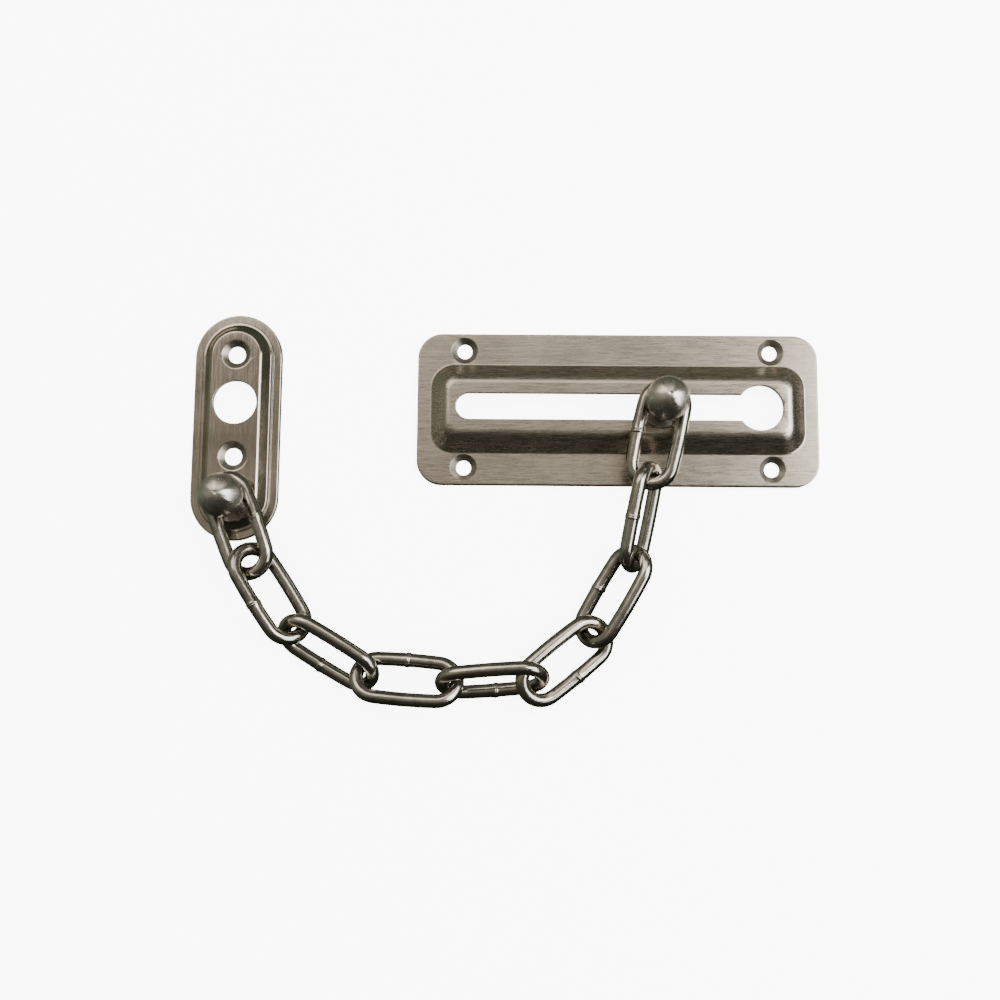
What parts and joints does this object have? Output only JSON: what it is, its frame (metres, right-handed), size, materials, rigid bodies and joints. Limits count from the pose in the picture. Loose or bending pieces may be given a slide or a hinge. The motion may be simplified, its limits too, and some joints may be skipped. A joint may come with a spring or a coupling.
{
  "type": "door chain guard",
  "caption": "Door chain guard lying flat: slotted slide plate and obround anchor plate joined by a welded link chain between ball studs.",
  "frame": {"origin": "bottom centre of the whole guard as it lies flat, on the plane of both plates' backs", "axes": "+Z out of both plates' front faces, +X along the slot from its parking end to its keyhole, +Y towards the plates' upper edges"},
  "size_m": [0.1638, 0.102, 0.022],
  "materials": {
    "brushed_plate": "satin, brushed along the length",
    "polished_stud": "polished, turned",
    "chain_wire": "tumbled bright, welded"
  },
  "bodies": {
    "slide_plate": {"slide_plate": "brushed_plate"},
    "slide_stud": {"slide_ball_stud": "polished_stud", "slide_stud_collar": "polished_stud", "slide_stud_foot": "polished_stud"},
    "link_9": {"chain_link_9": "chain_wire"},
    "link_8": {"chain_link_8": "chain_wire"},
    "link_7": {"chain_link_7": "chain_wire"},
    "link_6": {"chain_link_6": "chain_wire"},
    "link_5": {"chain_link_5": "chain_wire"},
    "link_4": {"chain_link_4": "chain_wire"},
    "link_3": {"chain_link_3": "chain_wire"},
    "link_2": {"chain_link_2": "chain_wire"},
    "link_1": {"chain_link_1": "chain_wire"},
    "anchor": {"anchor_plate": "brushed_plate", "anchor_ball_stud": "polished_stud", "anchor_stud_collar": "polished_stud"}
  },
  "joints": [
    {"name": "stud_slide", "type": "slide", "parent": "slide_plate", "child": "slide_stud", "axis": [1, 0, 0], "range_m": [-0.0499, 0.0254]},
    {"name": "link_9_swing", "type": "hinge", "parent": "slide_stud", "child": "link_9", "pos_m": [0.04063, 0.02618, 0.0092], "axis": [0, 0, 1], "range_deg": [-30, 42]},
    {"name": "link_8_turn", "type": "hinge", "parent": "link_9", "child": "link_8", "pos_m": [0.03773, 0.01128, 0.0086], "axis": [0, 0, -1], "range_deg": [-30, 40]},
    {"name": "link_7_turn", "type": "hinge", "parent": "link_8", "child": "link_7", "pos_m": [0.03272, -0.01342, 0.0068], "axis": [0, 0, 1], "range_deg": [-28, 24]},
    {"name": "link_6_turn", "type": "hinge", "parent": "link_7", "child": "link_6", "pos_m": [0.02032, -0.03492, 0.0046], "axis": [0, 0, -1], "range_deg": [-14, 14]},
    {"name": "link_5_turn", "type": "hinge", "parent": "link_6", "child": "link_5", "pos_m": [0.00882, -0.04232, 0.009], "axis": [0, 0, 1], "range_deg": [-25, 24]},
    {"name": "link_4_turn", "type": "hinge", "parent": "link_5", "child": "link_4", "pos_m": [-0.01477, -0.04492, 0.0068], "axis": [0, 0, -1], "range_deg": [-26, 22]},
    {"name": "link_3_turn", "type": "hinge", "parent": "link_4", "child": "link_3", "pos_m": [-0.03488, -0.04512, 0.0061], "axis": [0, 0, 1], "range_deg": [-20, 4]},
    {"name": "link_2_turn", "type": "hinge", "parent": "link_3", "child": "link_2", "pos_m": [-0.05328, -0.03072, 0.0074], "axis": [0, 0, -1], "range_deg": [-15, 16]},
    {"name": "link_1_turn", "type": "hinge", "parent": "link_2", "child": "link_1", "pos_m": [-0.06517, -0.01392, 0.009], "axis": [0, 0, 1], "range_deg": [-24, 20]},
    {"name": "anchor_swing", "type": "hinge", "parent": "link_1", "child": "anchor", "pos_m": [-0.07047, 0.00118, 0.0088], "axis": [0, 0, 1], "range_deg": [-60, 150]}
  ]
}
